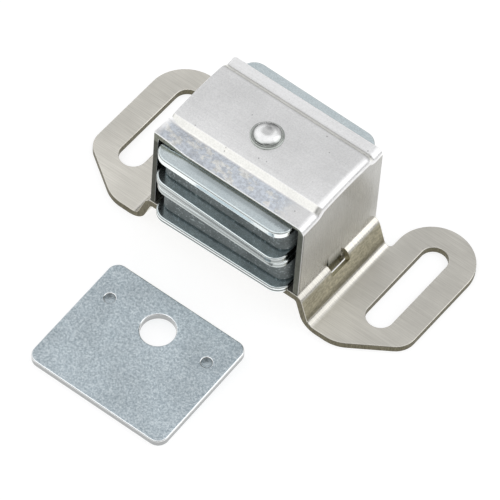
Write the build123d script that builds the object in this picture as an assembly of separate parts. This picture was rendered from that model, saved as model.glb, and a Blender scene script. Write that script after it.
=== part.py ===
from build123d import *
import math
import os

# Magnetic catch: a mounting strap with two slotted ears, a folded sheet housing
# clinched to it, a loose stack of pole plates and ferrite magnets round one rivet,
# and the strike plate that goes on the door.
# Millimetres. +X along the catch, -Y towards the door (the pole faces), +Z up.
# Origin: centre of the housing's footprint, on the mounting plane (ears' underside).

os.makedirs("parts", exist_ok=True)

# ---- mounting strap ----
strap_t = 1.3            # sheet thickness
ear_top = strap_t
platform_top = 7.2       # raised middle that carries the stack and the housing
platform_under = platform_top - strap_t
strap_front = -11.35     # strap's front edge
strap_back = 11.15       # strap's back edge between the ears
riser_x_low = 17.89      # underside corner where the riser meets the ear
riser_x_high = 15.90     # underside corner where the riser meets the platform
riser_bend_top_r = 1.9   # outer radius, platform to riser
riser_bend_foot_r = 3.6  # outer radius, riser to ear
riser_crease_r = 1.5     # hollow side of the same bend, struck tighter
ear_x = 34.9             # ear's outer edge
ear_back = 21.1          # ear's furthest edge
ear_inner_x = 19.9       # ear's inner edge behind the strap
ear_taper_start_x = 24.6 # where the front edge starts to taper
ear_taper_end_y = -4.3   # where the taper would meet the outer edge
ear_round_r = 7.45       # rounding of the ear's back end
strap_rim_r = 0.15       # roll-over of the upper sheared edges

# ---- mounting slots ----
slot_x = 27.27
slot_y = 6.12
slot_w = 5.14
slot_l = 20.8

# ---- housing ----
sheet_t = 1.2
wall_right = 16.12       # outer faces of the two walls
wall_left = -16.15
wall_left_t = 0.98       # the left wall has been drawn thinner
house_front = -11.16     # front edge
house_back = 11.28       # back edge
# the roof's depth profile: (y, z) of its top surface, a raised crowned panel between two pressed strips
strip_front_z = 25.47
crease_front = (-6.96, 25.60)
panel_front = (-5.83, 26.53)
panel_mid = (1.10, 26.90)
panel_back = (8.02, 26.53)
crease_back = (9.09, 25.62)
strip_back_z = 25.80
crease_r = 0.6           # hollow rounding at the foot of each slope
brow_front_r = 0.45      # rounding at the top of the front slope
brow_back_r = 2.2        # the back one is softer
roof_under = 24.78       # underside of the pressed strips
bend_right_r = 1.5       # outer bend radius, roof to right wall
bend_left_r = 0.40       # the left bend is struck nearly sharp
rim_r = 0.12             # softening of the sheared front and back rims
corner_r = 0.85          # rounding of the housing's back left corner
tab_y0, tab_y1 = -2.70, 0.90      # clinch tab, one on each wall
tab_bulge = 0.20         # how far the wall swells outwards above the tab
tab_swell_z = 9.4        # where the swelling starts
tab_low = 4.35           # underside of the folded tab
foot_y0, foot_y1 = -3.2, 3.2      # the tab's foot is spread under the strap
notch_y0, notch_y1 = -2.80, 2.15  # notch in the strap that the tab goes through
notch_x0, notch_x1 = 14.8, 17.5

# ---- rivet ----
axis_x = -0.64           # the rivet sits a little left of centre and behind it
axis_y = 0.36
shank_r = 1.60
seat_z = 26.83           # flat seat struck into the roof under the head
seat_r = 3.05
head_r = 2.80
head_h = 1.24            # above the brim
head_flat_r = 0.35       # flattened crown
brim_r = 3.02
brim_h = 0.22
foot_r = 2.60
foot_h = 1.05

# ---- stack ----
stack_x = -0.2           # the loose pieces' own centre
plate_x = 28.3           # pole plate width
plate_y = 27.70          # pole plate depth
plate_t = 1.50
plate_r = 2.8            # plan corner radius
plate_edge = 0.34        # rolled edge
magnet_x = 27.4
magnet_y = 23.6
magnet_t = 5.70
magnet_r = 2.3           # plan corner radius
magnet_edge = 0.35
bore_r = 1.68
gap = 0.02               # running clearance between the loose pieces

# how far each loose piece has swivelled about the rivet, degrees
turn_bottom_plate = 1.0
turn_lower_magnet = 1.1
turn_lower_middle = -0.8
turn_upper_middle = -2.0
turn_upper_magnet = -0.8
turn_top_plate = -0.7
# and has slid a little to the front or the back
slide_bottom_plate = 0.10
slide_lower_middle = 0.20
slide_upper_middle = -0.10
slide_top_plate = -0.18

# ---- strike plate ----
strike_x = 29.2
strike_y = 24.6
strike_t = 1.48
strike_r = 2.1
strike_edge = 0.32
strike_hole_r = 3.15
strike_hole_y = 5.56     # from the plate's centre
nib_x = 10.58            # from the plate's centre
nib_y = 5.56
nib_r = 1.20
nib_len = 1.38           # how far the nibs stand out of the back
nib_round = 0.45         # rounding of a nib's tip
back_edge = 0.20         # rounding of the plate's rim at its back
dimple_r = 0.98
dimple_deep = 0.95
strike_at = (0.30, -35.00)   # plan position of the plate's centre


def nib_low(t):
    """Lowest point of a nib when the plate is tilted by t, its near edge's corner at height 0."""
    v = strike_y / 2 + nib_y - (nib_r - nib_round)
    return v * math.sin(t) + (nib_round - nib_len) * math.cos(t) - nib_round


def edge_low(t):
    """Lowest point of the near edge's rounding at tilt t."""
    return back_edge * (math.sin(t) + math.cos(t) - 1)


# the tilt at which the near edge and both nibs touch the mounting plane together
lo_t, hi_t = 0.02, 0.2
for _ in range(60):
    mid_t = (lo_t + hi_t) / 2
    if nib_low(mid_t) < edge_low(mid_t):
        lo_t = mid_t
    else:
        hi_t = mid_t
strike_tilt = math.degrees(lo_t)
strike_lift = -edge_low(lo_t)


def rounded_outline(points, radii):
    """Closed polygon face in XY whose corners are rounded by the radii given."""
    f = make_face(Polyline(*points, close=True))
    for (px, py), r in zip(points, radii):
        if r <= 0:
            continue
        v = sorted(f.vertices(), key=lambda q: (q.X - px) ** 2 + (q.Y - py) ** 2)[0]
        f = fillet(v, r)
    return f


def slab(w, d, h, r, z):
    """Rectangular plate with rounded plan corners, standing on height z."""
    s = extrude(RectangleRounded(w, d, r), h)
    return Pos(0, 0, z) * s


def roll_edges(s, z_lo, z_hi, r):
    """Round the rims of a flat plate at both faces."""
    e = [k for k in s.edges() if abs(k.center().Z - z_lo) < 1e-4 or abs(k.center().Z - z_hi) < 1e-4]
    return fillet(e, r)


def lies_on_y(edge, y):
    b = edge.bounding_box()
    return abs(b.min.Y - y) < 1e-3 and abs(b.max.Y - y) < 1e-3


def upper_rims(s):
    """Edges between the upper surfaces and the sheared sides."""
    top = [f for f in s.faces() if f.normal_at(f.center()).Z > 0.15]
    side_edges = set(e for f in s.faces() if abs(f.normal_at(f.center()).Z) < 0.05 for e in f.edges())
    out = []
    for f in top:
        for e in f.edges():
            if e in side_edges and e not in out:
                out.append(e)
    return out


# ------------------------------------------------------------------ strap
def make_strap():
    under = [(-40, 0), (-riser_x_low, 0), (-riser_x_high, platform_under),
             (riser_x_high, platform_under), (riser_x_low, 0), (40, 0)]
    lean = math.atan2(riser_x_low - riser_x_high, platform_under)
    half = math.pi / 4 - lean / 2            # half of the bend angle
    off = strap_t * math.tan(half)
    top = [(40, strap_t), (riser_x_low + off, strap_t), (riser_x_high + off, platform_top),
           (-riser_x_high - off, platform_top), (-riser_x_low - off, strap_t), (-40, strap_t)]
    pts = under + top
    r_top_in = riser_bend_top_r - strap_t
    radii = [0, riser_bend_foot_r, r_top_in, r_top_in, riser_bend_foot_r, 0,
             0, riser_crease_r, riser_bend_top_r, riser_bend_top_r, riser_crease_r, 0]
    section = rounded_outline(pts, radii)
    section = Plane.XZ.offset(40) * section
    strip = extrude(section, amount=80, dir=(0, 1, 0))

    half_pts = [(0, strap_front), (ear_taper_start_x, strap_front), (ear_x, ear_taper_end_y),
                (ear_x, ear_back), (ear_inner_x, ear_back), (ear_inner_x, strap_back), (0, strap_back)]
    half_r = [0, 7.0, 4.2, ear_round_r, ear_round_r, 0.9, 0]
    plan = rounded_outline(half_pts, half_r)
    plan = plan + mirror(plan, about=Plane.YZ)
    body = strip & (Pos(0, 0, -1) * extrude(plan, 12))

    for sx in (-slot_x, slot_x):
        s = Pos(sx, slot_y, -1) * extrude(SlotOverall(slot_l, slot_w, rotation=90), 4)
        body -= s
    for sgn in (-1, 1):
        n = Pos(sgn * (notch_x0 + notch_x1) / 2, (notch_y0 + notch_y1) / 2, 4.2 + 2) * Box(notch_x1 - notch_x0, notch_y1 - notch_y0, 4)
        body -= n
    body -= Pos(axis_x, axis_y, 6.5) * Cylinder(shank_r, 6)
    near_notch = lambda e: abs(e.center().X) < notch_x1 + 0.3 and abs(e.center().Y) < 3.2
    return fillet([e for e in upper_rims(body) if not near_notch(e)], strap_rim_r)


# ------------------------------------------------------------------ housing
def depth_face(front, points_front, arc_mid, points_back, back, low):
    """YZ face: two straight-sided strips, slopes and a crowned panel on top, open box below."""
    run_front = Polyline((front, low), *points_front)
    run_back = Polyline(*points_back, (back, low))
    crown = ThreePointArc(points_front[-1], arc_mid, points_back[0])
    closing = Line((back, low), (front, low))
    return make_face(run_front + crown + run_back + closing)


def soften(f, marks):
    for (px, py), r in marks:
        v = sorted(f.vertices(), key=lambda q: (q.X - px) ** 2 + (q.Y - py) ** 2)[0]
        f = fillet(v, r)
    return f


def across(face, x0, x1):
    """Extrude a (y, z) face from x0 to x1."""
    return extrude(Plane.YZ.offset(x0) * face, amount=x1 - x0, dir=(1, 0, 0))


def climb():
    """Wedge on the front strip's left end, full height along the front edge and nothing at the crease."""
    x0, x1, low = wall_left, -9.0, 24.9

    def section(y, ends):
        top = Spline(*ends)
        return make_face(Plane.XZ.offset(-y) * (Line((x0, low), ends[0]) + top + Line(ends[-1], (x1, low)) + Line((x1, low), (x0, low))))

    near = section(house_front, [(x0, 26.45), (-14.9, 26.40), (-12.7, 26.08), (-10.9, 25.72), (x1, 25.42)])
    far = section(crease_front[0] + 0.6, [(x0, 26.30), (-15.3, 25.90), (-14.2, 25.62), (-12.0, 25.56), (x1, 25.54)])
    return loft([near, far], ruled=True)


def make_housing():
    outer = depth_face(house_front, [(house_front, strip_front_z), crease_front, panel_front], panel_mid,
                       [panel_back, crease_back, (house_back, strip_back_z)], house_back, 5.0)
    outer = soften(outer, [(crease_front, crease_r), (panel_front, brow_front_r), (panel_back, brow_back_r), (crease_back, crease_r)])
    block = across(outer, wall_left, wall_right)
    right = [k for k in block.edges() if abs(k.center().X - wall_right) < 1e-4 and k.center().Z > 25.4]
    block = fillet(right, bend_right_r)
    left = [k for k in block.edges() if abs(k.center().X - wall_left) < 1e-4 and k.center().Z > 25.4]
    block = fillet(left, bend_left_r)
    # the front strip's edge climbs to full height over its left end
    block = block + climb()
    inner = depth_face(-20, [(-20, roof_under), (-6.1, roof_under), (-5.3, 25.32)], (1.1, 25.70),
                       [(7.4, 25.32), (8.3, roof_under), (20, roof_under)], 20, 0)
    u = block - across(inner, wall_left + wall_left_t, wall_right - sheet_t)
    hollow = [(wall_left + wall_left_t, 24.6), (wall_left + wall_left_t, 25.16), (-12.6, 25.02), (-9.4, 24.6)]
    u -= extrude(Plane.XZ.offset(14) * make_face(Polyline(*hollow, close=True)), amount=8.0, dir=(0, 1, 0))
    u = u & (Pos(0, 0, platform_top + 15) * Box(80, 80, 30))
    rims = [k for k in u.edges() if k.center().Z > platform_top + 0.1 and (lies_on_y(k, house_front) or lies_on_y(k, house_back))]
    u = fillet(rims, rim_r)
    sharp = Pos(wall_left + corner_r / 2, house_back - corner_r / 2, 17) * Box(corner_r, corner_r, 24)
    u -= sharp - Pos(wall_left + corner_r, house_back - corner_r, 17) * Cylinder(corner_r, 30)
    # clinch tabs: the wall swells out above the notch, goes through it, and folds in under the strap
    z_a = platform_under - 0.02
    for sgn, wall, t in ((-1, -wall_left, wall_left_t), (1, wall_right, sheet_t)):
        xo, xi = wall + tab_bulge, wall - t
        p = [(sgn * wall, tab_swell_z), (sgn * xo, platform_top - 0.2), (sgn * xo, tab_low), (sgn * 12.6, tab_low),
             (sgn * 12.6, z_a), (sgn * xi, z_a), (sgn * xi, tab_swell_z)]
        f = rounded_outline(p, [0, 1.2, 0.35, 0, 0, 0, 0])
        u = u + extrude(Plane.XZ.offset(-tab_y0) * f, amount=tab_y1 - tab_y0, dir=(0, 1, 0))
        q = [(12.6, tab_low), (16.33, tab_low), (16.00, 5.2), (15.96, 5.58), (15.76, 5.78), (15.46, z_a), (12.6, z_a)]
        f = make_face(Polyline(*[(sgn * qx, qz) for qx, qz in q], close=True))
        u = u + extrude(Plane.XZ.offset(-foot_y0) * f, amount=foot_y1 - foot_y0, dir=(0, 1, 0))
    u -= Pos(axis_x, axis_y, 26) * Cylinder(shank_r, 6)
    u -= Pos(axis_x, axis_y, seat_z + 1) * Cylinder(seat_r, 2)
    return u


# ------------------------------------------------------------------ rivet
def make_rivet():
    z0 = seat_z
    z_foot = platform_under
    z_b = z0 + brim_h
    apex = (0, z_b + head_h)
    flat = (head_flat_r, z_b + head_h)
    side = (head_r, z_b)
    k = math.sqrt(0.5)
    via = (head_flat_r + (head_r - head_flat_r) * k, z_b + head_h * k)
    dome = Spline(flat, via, side, tangents=[(1, 0), (0.12, -1)])
    rest = Polyline(side, (brim_r, z0 + brim_h * 0.6), (brim_r, z0), (shank_r, z0), (shank_r, z_foot),
                    (foot_r, z_foot), (foot_r, z_foot - foot_h * 0.45), (foot_r * 0.72, z_foot - foot_h),
                    (0, z_foot - foot_h), apex, flat)
    f = make_face(Plane.XZ * (dome + rest))
    s = revolve(f, Axis.Z, 360)
    return Pos(axis_x, axis_y, 0) * s


# ------------------------------------------------------------------ stack
def pole_plate(z, turn, slide):
    s = slab(plate_x, plate_y, plate_t, plate_r, 0)
    s = roll_edges(s, 0, plate_t, plate_edge)
    s = Pos(stack_x, slide, z) * Rot(0, 0, turn) * s
    return s - Pos(axis_x, axis_y, z) * Cylinder(bore_r, 10)


def magnet(z, turn):
    s = extrude(RectangleRounded(magnet_x, magnet_y, magnet_r), magnet_t)
    rims = [k for k in s.edges() if abs(k.center().Z) < 1e-4 or abs(k.center().Z - magnet_t) < 1e-4]
    s = chamfer(rims, magnet_edge)
    s = Pos(stack_x, 0, z) * Rot(0, 0, turn) * s
    return s - Pos(axis_x, axis_y, z) * Cylinder(bore_r, 20)


# ------------------------------------------------------------------ strike
def make_strike():
    s = slab(strike_x, strike_y, strike_t, strike_r, 0)
    top = [k for k in s.edges() if abs(k.center().Z - strike_t) < 1e-4]
    s = fillet(top, strike_edge)
    low = [k for k in s.edges() if abs(k.center().Z) < 1e-4]
    s = fillet(low, back_edge)
    hole = Pos(0, strike_hole_y, strike_t / 2) * Cylinder(strike_hole_r, 10)
    s -= hole
    rim = [k for k in s.edges() if k.geom_type == GeomType.CIRCLE
           and abs(k.arc_center.X) < 1e-3 and abs(k.arc_center.Y - strike_hole_y) < 1e-3]
    up = [k for k in rim if k.center().Z > strike_t / 2]
    dn = [k for k in rim if k.center().Z <= strike_t / 2]
    s = fillet(up, 0.30)
    s = chamfer([k for k in s.edges() if k.geom_type == GeomType.CIRCLE
                 and abs(k.arc_center.X) < 1e-3 and abs(k.arc_center.Y - strike_hole_y) < 1e-3
                 and abs(k.center().Z) < 1e-3], 0.12)
    for sx in (-nib_x, nib_x):
        n = Pos(sx, nib_y, -nib_len / 2 + 0.2) * Cylinder(nib_r, nib_len + 0.4)
        n = fillet([k for k in n.edges() if k.geom_type == GeomType.CIRCLE
                    and k.center().Z < -nib_len + 0.05], nib_round)
        s = s + n
        d = Pos(sx, nib_y, strike_t - dimple_deep / 2 + 0.5) * Cylinder(dimple_r, dimple_deep + 1.0)
        s -= d
        rim = [k for k in s.edges() if k.geom_type == GeomType.CIRCLE
               and abs(k.arc_center.X - sx) < 1e-3 and abs(k.arc_center.Y - nib_y) < 1e-3
               and abs(k.center().Z - strike_t) < 1e-3]
        s = fillet(rim, 0.26)
    # one long edge and the two nibs rest on the mounting plane
    s = Pos(0, strike_y / 2, 0) * s
    t = math.radians(strike_tilt)
    y_edge = strike_at[1] - strike_y / 2 * math.cos(t)
    return Pos(strike_at[0], y_edge, strike_lift) * Rot(strike_tilt, 0, 0) * s


z = platform_top + gap
levels = {}
for name, thick in (("bottom_pole_plate", plate_t), ("lower_magnet", magnet_t), ("lower_middle_plate", plate_t),
                    ("upper_middle_plate", plate_t), ("upper_magnet", magnet_t), ("top_pole_plate", plate_t)):
    levels[name] = z
    z += thick + gap

parts = {
    "mounting_strap": make_strap(),
    "housing": make_housing(),
    "rivet": make_rivet(),
    "bottom_pole_plate": pole_plate(levels["bottom_pole_plate"], turn_bottom_plate, slide_bottom_plate),
    "lower_magnet": magnet(levels["lower_magnet"], turn_lower_magnet),
    "lower_middle_plate": pole_plate(levels["lower_middle_plate"], turn_lower_middle, slide_lower_middle),
    "upper_middle_plate": pole_plate(levels["upper_middle_plate"], turn_upper_middle, slide_upper_middle),
    "upper_magnet": magnet(levels["upper_magnet"], turn_upper_magnet),
    "top_pole_plate": pole_plate(levels["top_pole_plate"], turn_top_plate, slide_top_plate),
    "strike_plate": make_strike(),
}

for name, shape in parts.items():
    shape.label = name
    export_step(shape, "parts/" + name + ".step")
    bb = shape.bounding_box()
    print(name, "solids", len(shape.solids()), "volume", round(shape.volume, 2),
          [round(v, 3) for v in (*bb.min, *bb.max)])
print("strike tilt", round(strike_tilt, 4), "lift", round(strike_lift, 5), "levels", {k: round(v, 3) for k, v in levels.items()})
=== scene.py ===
import math

import bpy
from mathutils import Matrix, Vector


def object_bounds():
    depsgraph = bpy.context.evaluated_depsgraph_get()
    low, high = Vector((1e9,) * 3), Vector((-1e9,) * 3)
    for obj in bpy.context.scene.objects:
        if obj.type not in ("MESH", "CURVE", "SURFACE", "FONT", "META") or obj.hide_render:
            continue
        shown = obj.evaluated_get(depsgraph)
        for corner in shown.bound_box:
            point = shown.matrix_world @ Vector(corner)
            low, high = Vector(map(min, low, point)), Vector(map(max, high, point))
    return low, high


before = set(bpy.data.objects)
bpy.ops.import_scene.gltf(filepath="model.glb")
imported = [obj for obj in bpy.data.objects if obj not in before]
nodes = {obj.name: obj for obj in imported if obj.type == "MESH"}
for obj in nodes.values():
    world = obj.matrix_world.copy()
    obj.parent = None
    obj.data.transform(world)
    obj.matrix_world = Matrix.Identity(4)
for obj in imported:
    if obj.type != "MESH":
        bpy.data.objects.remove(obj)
cad_box = [list(corner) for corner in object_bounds()]
scene = bpy.context.scene


# ---------------------------------------------------------------- node helpers
class Tree:
    """A small wrapper for adding nodes to a node tree."""

    def __init__(self, tree):
        self.tree = tree
        self.tree.nodes.clear()

    def put(self, socket, value):
        if hasattr(value, "is_linked") or isinstance(value, bpy.types.NodeSocket):
            self.tree.links.new(value, socket)
        else:
            socket.default_value = value

    def scaled(self, vector, scale, offset=(0, 0, 0), rotation=(0, 0, 0)):
        m = self.tree.nodes.new("ShaderNodeMapping")
        self.put(m.inputs["Vector"], vector)
        m.inputs["Scale"].default_value = scale
        m.inputs["Location"].default_value = offset
        m.inputs["Rotation"].default_value = rotation
        return m.outputs[0]

    def split(self, vector):
        s = self.tree.nodes.new("ShaderNodeSeparateXYZ")
        self.put(s.inputs[0], vector)
        return s.outputs

    def join(self, x, y, z):
        s = self.tree.nodes.new("ShaderNodeCombineXYZ")
        for i, v in enumerate((x, y, z)):
            self.put(s.inputs[i], v)
        return s.outputs[0]

    def math(self, op, a, b=0.0, c=0.0, clamp=False):
        m = self.tree.nodes.new("ShaderNodeMath")
        m.operation = op
        m.use_clamp = clamp
        self.put(m.inputs[0], a)
        if len(m.inputs) > 1:
            self.put(m.inputs[1], b)
        if len(m.inputs) > 2:
            self.put(m.inputs[2], c)
        return m.outputs[0]

    def add(self, a, b):
        return self.math("ADD", a, b)

    def sub(self, a, b):
        return self.math("SUBTRACT", a, b)

    def mul(self, a, b):
        return self.math("MULTIPLY", a, b)

    def absolute(self, a):
        return self.math("ABSOLUTE", a)

    def step(self, a, lo, hi, to_lo=0.0, to_hi=1.0, smooth=True):
        m = self.tree.nodes.new("ShaderNodeMapRange")
        m.interpolation_type = "SMOOTHSTEP" if smooth else "LINEAR"
        m.clamp = True
        self.put(m.inputs["Value"], a)
        m.inputs["From Min"].default_value = lo
        m.inputs["From Max"].default_value = hi
        m.inputs["To Min"].default_value = to_lo
        m.inputs["To Max"].default_value = to_hi
        return m.outputs["Result"]

    def band(self, a, lo, hi, soft):
        """1 between lo and hi, falling to 0 over soft on each side."""
        return self.mul(self.step(a, lo - soft, lo), self.step(a, hi, hi + soft, 1.0, 0.0))

    def noise(self, vector, scale=1.0, detail=2.0, rough=0.5, distort=0.0):
        n = self.tree.nodes.new("ShaderNodeTexNoise")
        self.put(n.inputs["Vector"], vector)
        n.inputs["Scale"].default_value = scale
        n.inputs["Detail"].default_value = detail
        n.inputs["Roughness"].default_value = rough
        n.inputs["Distortion"].default_value = distort
        return n.outputs["Fac"]

    def cells(self, vector, scale=1.0, feature="F1", output="Distance", random=1.0):
        v = self.tree.nodes.new("ShaderNodeTexVoronoi")
        v.feature = feature
        self.put(v.inputs["Vector"], vector)
        v.inputs["Scale"].default_value = scale
        v.inputs["Randomness"].default_value = random
        return v.outputs[output]

    def ramp(self, fac, *stops):
        r = self.tree.nodes.new("ShaderNodeValToRGB")
        self.put(r.inputs[0], fac)
        cr = r.color_ramp
        while len(cr.elements) > 1:
            cr.elements.remove(cr.elements[-1])
        cr.elements[0].position = stops[0][0]
        cr.elements[0].color = (*stops[0][1], 1)
        for p, c in stops[1:]:
            e = cr.elements.new(p)
            e.color = (*c, 1)
        return r.outputs["Color"]

    def mix(self, fac, a, b, blend="MIX"):
        m = self.tree.nodes.new("ShaderNodeMix")
        m.data_type = "RGBA"
        m.blend_type = blend
        m.clamp_factor = True
        self.put(m.inputs[0], fac)
        for socket, v in ((m.inputs[6], a), (m.inputs[7], b)):
            self.put(socket, (*v, 1) if isinstance(v, tuple) else v)
        return m.outputs[2]

    def tint(self, colour, fac):
        """colour multiplied by a number field."""
        m = self.tree.nodes.new("ShaderNodeVectorMath")
        m.operation = "SCALE"
        self.put(m.inputs[0], colour)
        self.put(m.inputs["Scale"], fac)
        return m.outputs[0]

    def bump(self, height, strength=1.0, distance=1e-5, normal=None):
        b = self.tree.nodes.new("ShaderNodeBump")
        b.inputs["Strength"].default_value = strength
        b.inputs["Distance"].default_value = distance
        self.put(b.inputs["Height"], height)
        if normal is not None:
            self.put(b.inputs["Normal"], normal)
        return b.outputs[0]


class Net(Tree):
    """One material."""

    def __init__(self, name):
        self.mat = bpy.data.materials.new(name)
        self.mat.use_nodes = True
        super().__init__(self.mat.node_tree)
        self.out = self.tree.nodes.new("ShaderNodeOutputMaterial")
        self.bsdf = self.tree.nodes.new("ShaderNodeBsdfPrincipled")
        self.tree.links.new(self.bsdf.outputs[0], self.out.inputs["Surface"])
        tc = self.tree.nodes.new("ShaderNodeTexCoord")
        self.object = tc.outputs["Object"]
        self.normal = tc.outputs["Normal"]
        # millimetres, in the part's own frame
        self.mm = self.scaled(self.object, (1000, 1000, 1000))
        self.xyz = self.split(self.mm)
        self.n = self.split(self.normal)

    def done(self, colour, rough, normal=None, metallic=1.0, **sockets):
        self.put(self.bsdf.inputs["Base Color"], colour)
        self.put(self.bsdf.inputs["Roughness"], rough)
        self.put(self.bsdf.inputs["Metallic"], metallic)
        if normal is not None:
            self.put(self.bsdf.inputs["Normal"], normal)
        for k, v in sockets.items():
            self.put(self.bsdf.inputs[k.replace("_", " ")], v)
        return self.mat


def dress(name, *materials):
    """Puts materials on a CAD node's own slots."""
    o = nodes[name]
    o.data.materials.clear()
    for m in materials:
        o.data.materials.append(m)
    return o


# ---------------------------------------------------------------- materials
def aluminium():
    """The housing: bright sheet, drawn lines along the strip, a mottled front strip, dull sheared edges, with painted
    light and shade on the walls, creases, rims and tab and a painted blue reflection on the front strip.
    """
    m = Net("housing_sheet")
    x, y, z = m.xyz
    # lines that run along the strip: along X on the roof, down the walls
    lines = m.noise(m.scaled(m.mm, (0.05, 9.0, 0.05)), 1.0, 3.0, 0.6)
    fine = m.noise(m.scaled(m.mm, (0.12, 26.0, 0.12)), 1.0, 2.0, 0.6)
    cloud = m.noise(m.mm, 0.16, 3.0, 0.55)
    grain = m.noise(m.mm, 5.0, 3.0, 0.6)
    base = m.ramp(m.step(lines, 0.25, 0.75), (0.0, (0.875, 0.872, 0.868)), (1.0, (0.915, 0.912, 0.908)))
    base = m.tint(base, m.step(cloud, 0.3, 0.7, 0.96, 1.03))
    base = m.tint(base, m.step(fine, 0.3, 0.7, 0.985, 1.015))
    dust = m.noise(m.mm, 3.4, 4.0, 0.8)
    base = m.tint(base, m.step(dust, 0.36, 0.64, 0.93, 1.06))
    # painted shade: the walls, picked by facing sideways, are made darker and warmer than the roof, and painted
    # lighter towards the bottom
    wall = m.step(m.absolute(m.n[0]), 0.955, 0.995)
    base = m.mix(wall, base, m.tint(m.mix(1.0, base, (1.0, 0.99, 0.94), "MULTIPLY"), 0.50))
    base = m.mix(wall, base, m.tint(base, m.step(z, 6.0, 15.0, 1.22, 1.0)))
    # painted shade: the inner faces of the walls are painted near black
    inside_shade = m.mul(wall, m.step(m.absolute(x), 15.7, 15.5))
    base = m.mix(inside_shade, base, (0.30, 0.31, 0.28))
    # painted highlight: the strip behind the back crease is made a touch brighter; painted shade: both creases hold a
    # thin dark line
    base = m.tint(base, m.step(y, 8.9, 9.3, 1.0, 1.08))
    base = m.tint(base, m.sub(1.0, m.mul(m.band(y, 8.55, 9.0, 0.12), m.step(z, 25.4, 25.6, 0.0, 0.10))))
    base = m.tint(base, m.sub(1.0, m.mul(m.band(y, -7.25, -7.0, 0.10), m.step(z, 25.2, 25.4, 0.0, 0.12))))
    # front strip, mottled, with a painted blue reflection that is darker towards the left and left out at the ends
    strip = m.mul(m.step(y, -7.4, -7.0, 1.0, 0.0), m.step(z, 25.15, 25.35))
    patch = m.step(m.noise(m.scaled(m.mm, (0.42, 0.62, 0.42)), 1.0, 3.0, 0.6), 0.49, 0.59)
    speck = m.step(m.noise(m.mm, 1.4, 5.0, 0.85), 0.43, 0.57, 0.78, 1.12)
    ends = m.mul(m.step(x, -16.2, -14.8), m.step(x, 8.5, 12.5, 1.0, 0.0))
    painted_blue_reflection = m.tint(m.mix(patch, (0.69, 0.74, 0.81), (0.89, 0.89, 0.865)), speck)
    painted_blue_reflection = m.tint(painted_blue_reflection, m.step(x, -15.0, 6.0, 0.86, 1.06))
    base = m.mix(m.mul(strip, m.mul(ends, 0.85)), base, painted_blue_reflection)
    # painted shade: the pressed slopes, picked by facing, are tinted slightly darker and warmer
    slope_shade = m.mul(m.band(m.absolute(m.n[1]), 0.42, 0.68, 0.12), m.step(z, 25.0, 25.3))
    base = m.mix(slope_shade, base, m.tint(m.mix(1.0, base, (1.0, 0.995, 0.95), "MULTIPLY"), 0.96))
    # sheared edges
    edge = m.step(m.absolute(m.n[1]), 0.75, 0.95)
    torn = m.noise(m.scaled(m.mm, (5.0, 1.0, 1.2)), 1.0, 3.0, 0.6)
    base = m.mix(edge, base, m.ramp(torn, (0.25, (0.15, 0.155, 0.12)), (0.75, (0.30, 0.305, 0.26))))
    # painted highlight: a thin near-white line along the front strip's top edge
    edge_highlight = m.mul(m.step(y, -11.02, -10.94, 1.0, 0.0), m.step(m.n[2], 0.15, 0.35))
    base = m.mix(edge_highlight, base, (0.99, 1.0, 0.99))
    # painted shade: the walls' front rims are darkened, the left one more, and the clinched tab is darkened
    front_rim_shade = m.mul(m.step(y, -10.6, -10.8), m.step(z, 24.6, 24.0))
    base = m.tint(base, m.sub(1.0, m.mul(front_rim_shade, m.step(x, -10.0, 10.0, 0.62, 0.36))))
    tab_shade = m.mul(m.step(m.absolute(m.add(y, 0.9)), 2.2, 1.5), m.step(z, 9.0, 7.4))
    base = m.mix(tab_shade, base, m.mix(1.0, base, (0.52, 0.53, 0.49), "MULTIPLY"))
    # small pits
    pits = m.step(m.cells(m.mm, 0.42), 0.035, 0.075, 0.55, 1.0)
    base = m.tint(base, pits)
    rough = m.add(m.step(lines, 0.25, 0.75, 0.28, 0.38), m.mul(m.sub(grain, 0.5), 0.08))
    rough = m.sub(rough, m.mul(wall, 0.08))
    rough = m.math("MAXIMUM", rough, m.mul(edge, 0.5))
    rough = m.math("MAXIMUM", rough, m.mul(edge_highlight, 0.5))
    height = m.add(m.mul(lines, 0.35), m.add(m.mul(fine, 0.15), m.add(m.mul(grain, 0.35), m.mul(dust, 0.5))))
    normal = m.bump(height, 0.5, 1.2e-5)
    return m.done(base, rough, normal)


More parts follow.
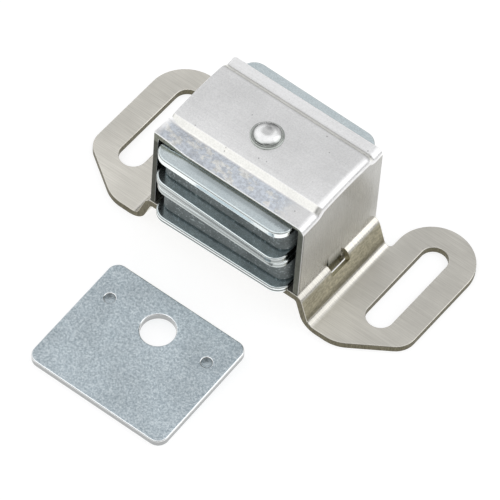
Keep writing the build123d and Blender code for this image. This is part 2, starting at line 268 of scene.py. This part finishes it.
def strap_steel():
    """The strap: warm brushed steel with dull olive sheared edges."""
    m = Net("strap_steel")
    x, y, z = m.xyz
    lines = m.noise(m.scaled(m.mm, (0.09, 7.0, 0.09)), 1.0, 4.0, 0.65)
    fine = m.noise(m.scaled(m.mm, (0.2, 22.0, 0.2)), 1.0, 2.0, 0.6)
    cloud = m.noise(m.mm, 0.12, 3.0, 0.5)
    grain = m.noise(m.mm, 6.0, 3.0, 0.6)
    base = m.ramp(m.step(lines, 0.3, 0.7), (0.0, (0.56, 0.54, 0.49)), (1.0, (0.68, 0.66, 0.605)))
    base = m.tint(base, m.step(cloud, 0.3, 0.7, 0.93, 1.05))
    base = m.tint(base, m.step(fine, 0.3, 0.7, 0.96, 1.04))
    # painted light: the left ear is made lighter than the right one, and the strap lighter towards the front; painted
    # shade: the risers are made darker and browner
    base = m.tint(base, m.step(x, -19.0, -16.0, 1.10, 1.0))
    base = m.tint(base, m.mul(m.step(y, -9.0, 2.0, 1.16, 1.0), 1.04))
    # painted highlight and shade on the bends: darker at the front, lighter at the back; the bends are also made
    # smoother
    bend_polish_and_sheen = m.mul(m.band(m.absolute(m.n[0]), 0.34, 0.74, 0.14), m.step(m.n[2], 0.15, 0.25))
    base = m.tint(base, m.add(1.0, m.mul(bend_polish_and_sheen, m.step(y, -10.0, 8.0, -0.14, 0.24))))
    # painted shade: the risers, picked by facing sideways, are darker and browner, darker still towards the bottom and
    # the front
    riser = m.mul(m.step(m.absolute(m.n[0]), 0.80, 0.93), m.step(m.n[2], 0.15, 0.25))
    mottle = m.noise(m.scaled(m.mm, (1.0, 1.1, 2.6)), 1.0, 4.0, 0.7)
    brown_riser_shade = m.tint(m.mix(1.0, base, (0.64, 0.62, 0.52), "MULTIPLY"), m.step(mottle, 0.40, 0.60, 0.80, 1.16))
    brown_riser_shade = m.tint(brown_riser_shade, m.step(z, 2.4, 3.6, 0.62, 1.0))
    brown_riser_shade = m.tint(brown_riser_shade, m.step(y, -9.0, -2.0, 0.80, 1.12))
    base = m.mix(riser, base, brown_riser_shade)
    ear = m.mul(m.step(m.absolute(x), 20.2, 20.6), m.step(m.absolute(m.n[2]), 0.35, 0.6, 1.0, 0.0))
    edge = m.math("MAXIMUM", m.step(m.absolute(m.n[1]), 0.75, 0.95), ear)
    # the punched faces inside the notches
    notch = m.mul(m.mul(m.step(m.absolute(x), 17.56, 17.51), m.band(y, -2.82, 2.17, 0.03)), m.step(z, 4.14, 4.18))
    torn = m.noise(m.scaled(m.mm, (4.0, 4.0, 1.2)), 1.0, 3.0, 0.6)
    dull = m.ramp(torn, (0.25, (0.10, 0.09, 0.06)), (0.75, (0.24, 0.22, 0.155)))
    base = m.mix(edge, base, dull)
    base = m.mix(notch, base, m.tint(dull, 3.0))
    rough = m.add(m.step(lines, 0.25, 0.75, 0.34, 0.46), m.mul(m.sub(grain, 0.5), 0.08))
    rough = m.sub(rough, m.mul(bend_polish_and_sheen, 0.16))
    rough = m.math("MAXIMUM", rough, m.mul(m.math("MAXIMUM", edge, notch), 0.5))
    height = m.add(m.mul(lines, 1.0), m.add(m.mul(fine, 0.5), m.mul(grain, 0.2)))
    normal = m.bump(height, 0.5, 1.4e-5)
    return m.done(base, rough, normal)


def zinc_plate():
    """The pole plates: blue-white zinc, hazy on the faces, burnished on the sheared faces; painted light and shade set
    the rims and sheared faces lighter or darker plate by plate, with a painted shadow under the roof's edge and a
    painted dark line under the rims.
    """
    m = Net("zinc_plate")
    x, y, z = m.xyz
    cloud = m.noise(m.mm, 0.22, 3.0, 0.55)
    grain = m.noise(m.mm, 3.0, 3.0, 0.6)
    nz = m.absolute(m.n[2])
    flat = m.step(nz, 0.86, 0.985)
    sheared = m.step(nz, 0.12, 0.40, 1.0, 0.0)
    face = m.ramp(cloud, (0.3, (0.72, 0.81, 0.84)), (0.7, (0.82, 0.90, 0.92)))
    face = m.tint(face, m.step(grain, 0.38, 0.62, 0.95, 1.05))
    # painted shade: the top plate is darkened where the roof's edge overhangs it, most to the right, lighter to the
    # left
    roof_edge_shade = m.mul(m.step(z, 24.0, 24.5), m.band(m.add(y, m.mul(m.sub(grain, 0.5), 1.6)), -12.1, -10.6, 0.7))
    face = m.mix(roof_edge_shade, face, m.tint(face, m.sub(m.step(x, -13.0, -4.0, 1.10, 0.70), m.step(x, 6.0, 12.0, 0.0, 0.18))))
    # painted light and shade: one zinc, whose rims and sheared faces are made lighter or darker plate by plate; which
    # plate it is goes by height
    above = lambda level: m.math("GREATER_THAN", z, level)
    low, mid, high = above(11.0), above(15.97), above(19.0)
    rim = m.add(0.66, m.add(m.mul(low, 0.40), m.add(m.mul(mid, -0.24), m.mul(high, -0.14))))
    wall = m.add(1.09, m.add(m.mul(low, -0.45), m.add(m.mul(mid, -0.10), m.mul(high, 0.55))))
    foot = m.add(m.add(m.mul(low, 7.24), m.mul(mid, 1.52)), m.mul(high, 7.24))
    h = m.sub(m.sub(z, 7.22), foot)
    bright = (0.895, 0.96, 0.95)
    base = m.mix(flat, m.tint(bright, rim), face)
    burnished_and_lit = m.tint(bright, wall)
    # painted reflection: a thin dark line under the rolled rim, darkest on the bottom plate and faint on the top plate
    torn = m.mul(m.band(h, 0.62, 0.92, 0.12), m.sub(1.0, m.mul(high, 0.85)))
    burnished_and_lit = m.mix(torn, burnished_and_lit, m.tint(burnished_and_lit, m.step(z, 9.0, 12.0, 0.22, 0.66)))
    base = m.mix(sheared, base, burnished_and_lit)
    rough = m.add(m.step(flat, 0.0, 1.0, 0.10, 0.22), m.mul(m.sub(grain, 0.5), 0.06))
    normal = m.bump(m.add(m.mul(grain, 0.5), cloud), 0.4, 1.0e-5)
    return m.done(base, rough, normal)


def ferrite():
    """The magnets: dark grey sintered blocks."""
    m = Net("ferrite")
    grain = m.noise(m.mm, 7.0, 3.0, 0.7)
    cloud = m.noise(m.mm, 0.3, 3.0, 0.6)
    base = m.ramp(m.add(m.mul(grain, 0.5), m.mul(cloud, 0.5)), (0.38, (0.085, 0.100, 0.100)), (0.62, (0.200, 0.228, 0.228)))
    chips = m.step(m.noise(m.mm, 2.2, 3.0, 0.7), 0.57, 0.64, 1.0, 2.8)
    base = m.tint(base, chips)
    rough = m.step(grain, 0.2, 0.8, 0.42, 0.62)
    normal = m.bump(m.add(grain, cloud), 0.5, 2.0e-5)
    return m.done(base, rough, normal, metallic=0.0)


def rivet_metal():
    """The rivet: polished, with faint turning marks, a painted shade ring round the dome's base and a darker patch on
    the crown.
    """
    m = Net("rivet_metal")
    x, y, z = m.xyz
    r = m.math("SQRT", m.add(m.math("POWER", m.add(x, 0.64), 2.0), m.math("POWER", m.sub(y, 0.36), 2.0)))
    ring = m.noise(m.join(m.mul(r, 9.0), m.mul(z, 9.0), 0.0), 1.0, 2.0, 0.6)
    cloud = m.noise(m.mm, 0.9, 3.0, 0.55)
    base = m.ramp(cloud, (0.3, (0.80, 0.805, 0.80)), (0.7, (0.92, 0.92, 0.915)))
    # painted shade: the dome's outer ring, near its base, is darker and greener
    base_ring_shade = m.mul(m.step(r, 1.9, 2.7), m.step(z, 24.0, 26.0))
    # a darker, mottled patch on the crown, off-centre
    r2 = m.math("SQRT", m.add(m.math("POWER", m.add(x, 0.75), 2.0), m.math("POWER", m.sub(y, 1.75), 2.0)))
    dark_crown_patch = m.mul(m.step(r2, 0.5, 1.5, 1.0, 0.0), m.step(m.noise(m.mm, 1.3, 3.0, 0.6), 0.35, 0.6, 0.6, 1.0))
    base = m.mix(dark_crown_patch, base, m.tint(base, 0.48))
    base = m.mix(base_ring_shade, base, m.tint(m.mix(1.0, base, (0.95, 1.0, 0.95), "MULTIPLY"), 0.55))
    rough = m.add(m.step(ring, 0.2, 0.8, 0.15, 0.24), m.mul(m.sub(cloud, 0.5), 0.06))
    normal = m.bump(m.add(m.mul(cloud, 1.0), m.mul(ring, 0.12)), 0.5, 5.0e-5)
    return m.done(base, rough, normal)


def strike_zinc():
    """The strike: blue-grey zinc with a fine speckle, rolled edges bright."""
    m = Net("strike_zinc")
    x, y, z = m.xyz
    grain = m.noise(m.mm, 2.6, 3.0, 0.65)
    speck = m.noise(m.mm, 6.5, 2.0, 0.6)
    cloud = m.noise(m.mm, 0.12, 3.0, 0.55)
    flat = m.step(m.absolute(m.n[2]), 0.85, 0.985)
    face = m.ramp(m.add(m.mul(grain, 0.6), m.mul(speck, 0.4)), (0.38, (0.36, 0.43, 0.475)), (0.5, (0.56, 0.64, 0.685)), (0.62, (0.80, 0.87, 0.90)))
    face = m.tint(face, m.step(cloud, 0.3, 0.7, 0.90, 1.08))
    base = m.mix(flat, (0.97, 0.985, 0.985), m.tint(face, 0.91))
    sheared = m.step(m.absolute(m.n[2]), 0.15, 0.40, 1.0, 0.0)
    base = m.mix(sheared, base, m.tint(base, 0.41))
    rough = m.add(m.step(flat, 0.0, 1.0, 0.2, 0.34), m.mul(m.sub(speck, 0.5), 0.16))
    normal = m.bump(m.add(m.mul(grain, 0.8), m.mul(speck, 0.6)), 0.5, 1.2e-5)
    return m.done(base, rough, normal)


dress("housing", aluminium())
dress("mounting_strap", strap_steel())
plate = zinc_plate()
for name in ("bottom_pole_plate", "lower_middle_plate", "upper_middle_plate", "top_pole_plate"):
    dress(name, plate)
stone = ferrite()
for name in ("lower_magnet", "upper_magnet"):
    dress(name, stone)
dress("rivet", rivet_metal())
dress("strike_plate", strike_zinc())


# ---------------------------------------------------------------- floor
def make_floor():
    low = cad_box[0][2]
    me = bpy.data.meshes.new("floor")
    s = 3.0
    me.from_pydata([(-s, -s, low), (s, -s, low), (s, s, low), (-s, s, low)], [], [(0, 1, 2, 3)])
    o = bpy.data.objects.new("floor", me)
    scene.collection.objects.link(o)
    m = bpy.data.materials.new("floor")
    m.use_nodes = True
    b = m.node_tree.nodes["Principled BSDF"]
    b.inputs["Base Color"].default_value = (0.34, 0.34, 0.34, 1)
    b.inputs["Roughness"].default_value = 0.9
    b.inputs["Specular IOR Level"].default_value = 0.1
    b.inputs["Emission Color"].default_value = (1, 1, 1, 1)
    b.inputs["Emission Strength"].default_value = 0.76
    me.materials.append(m)


make_floor()


# ---------------------------------------------------------------- light
def make_world():
    """A white studio: a broad soft sky, brighter to the right and in front, falling off close to the horizon."""
    w = bpy.data.worlds.new("studio")
    scene.world = w
    w.use_nodes = True
    t = Tree(w.node_tree)
    direction = t.tree.nodes.new("ShaderNodeTexCoord").outputs["Generated"]
    up = t.split(direction)[2]

    def lobe(towards, lo, hi, gain):
        d = t.tree.nodes.new("ShaderNodeVectorMath")
        d.operation = "DOT_PRODUCT"
        t.put(d.inputs[0], direction)
        d.inputs[1].default_value = Vector(towards).normalized()
        return t.step(d.outputs["Value"], lo, hi, 0.0, gain)

    sky = t.step(up, 0.06, 0.30, 0.12, 0.60)
    for towards, lo, hi, gain in SKY_LOBES:
        sky = t.add(sky, t.mul(lobe(towards, lo, hi, gain), t.step(up, 0.06, 0.24)))
    bg = t.tree.nodes.new("ShaderNodeBackground")
    bg.inputs["Color"].default_value = (0.985, 0.99, 1.0, 1)
    t.put(bg.inputs["Strength"], sky)
    # the backdrop itself is seen plain white
    white = t.tree.nodes.new("ShaderNodeBackground")
    white.inputs["Color"].default_value = (1, 1, 1, 1)
    path = t.tree.nodes.new("ShaderNodeLightPath")
    both = t.tree.nodes.new("ShaderNodeMixShader")
    t.put(both.inputs[0], path.outputs["Is Camera Ray"])
    t.put(both.inputs[1], bg.outputs[0])
    t.put(both.inputs[2], white.outputs[0])
    out = t.tree.nodes.new("ShaderNodeOutputWorld")
    t.put(out.inputs["Surface"], both.outputs[0])


SKY_LOBES = (
    ((-0.25, 0.00, 0.97), 0.50, 0.75, 0.46),      # broad soft box overhead
    ((-0.33, -0.68, 0.66), 0.90, 0.97, 0.32),     # its brighter front end
    ((0.66, 0.48, 0.58), 0.87, 0.965, 0.82),      # window, right and behind
    ((-0.33, 0.51, 0.79), 0.945, 0.985, -0.45),   # gap in the soft box
    ((0.40, -0.62, 0.68), 0.93, 0.985, -0.45),    # gap in front of it
    ((-0.25, -0.96, 0.12), 0.84, 0.94, -0.40),    # the dim front of the room
)
make_world()

scene.view_settings.view_transform = "Standard"
scene.view_settings.look = "None"


# ---------------------------------------------------------------- camera
def make_camera():
    az, el, roll, dist = math.radians(33.96), math.radians(53.5), math.radians(4.69), 0.8659
    target = Vector((0.0, -0.00018, 0.0100))
    back = Vector((math.sin(az) * math.cos(el), -math.cos(az) * math.cos(el), math.sin(el)))
    fwd = -back
    right = fwd.cross(Vector((0, 0, 1))).normalized()
    up = right.cross(fwd)
    r2 = right * math.cos(roll) + up * math.sin(roll)
    u2 = -right * math.sin(roll) + up * math.cos(roll)
    place = target - r2 * 0.0023016 - u2 * 0.0088496 - fwd * dist
    d = bpy.data.cameras.new("camera")
    d.sensor_fit = "HORIZONTAL"
    d.sensor_width = 36.0
    d.lens = 360.0
    d.clip_start, d.clip_end = 0.01, 20.0
    o = bpy.data.objects.new("camera", d)
    scene.collection.objects.link(o)
    o.matrix_world = Matrix(
        (
            (r2.x, u2.x, back.x, place.x),
            (r2.y, u2.y, back.y, place.y),
            (r2.z, u2.z, back.z, place.z),
            (0, 0, 0, 1),
        )
    )
    scene.camera = o


make_camera()
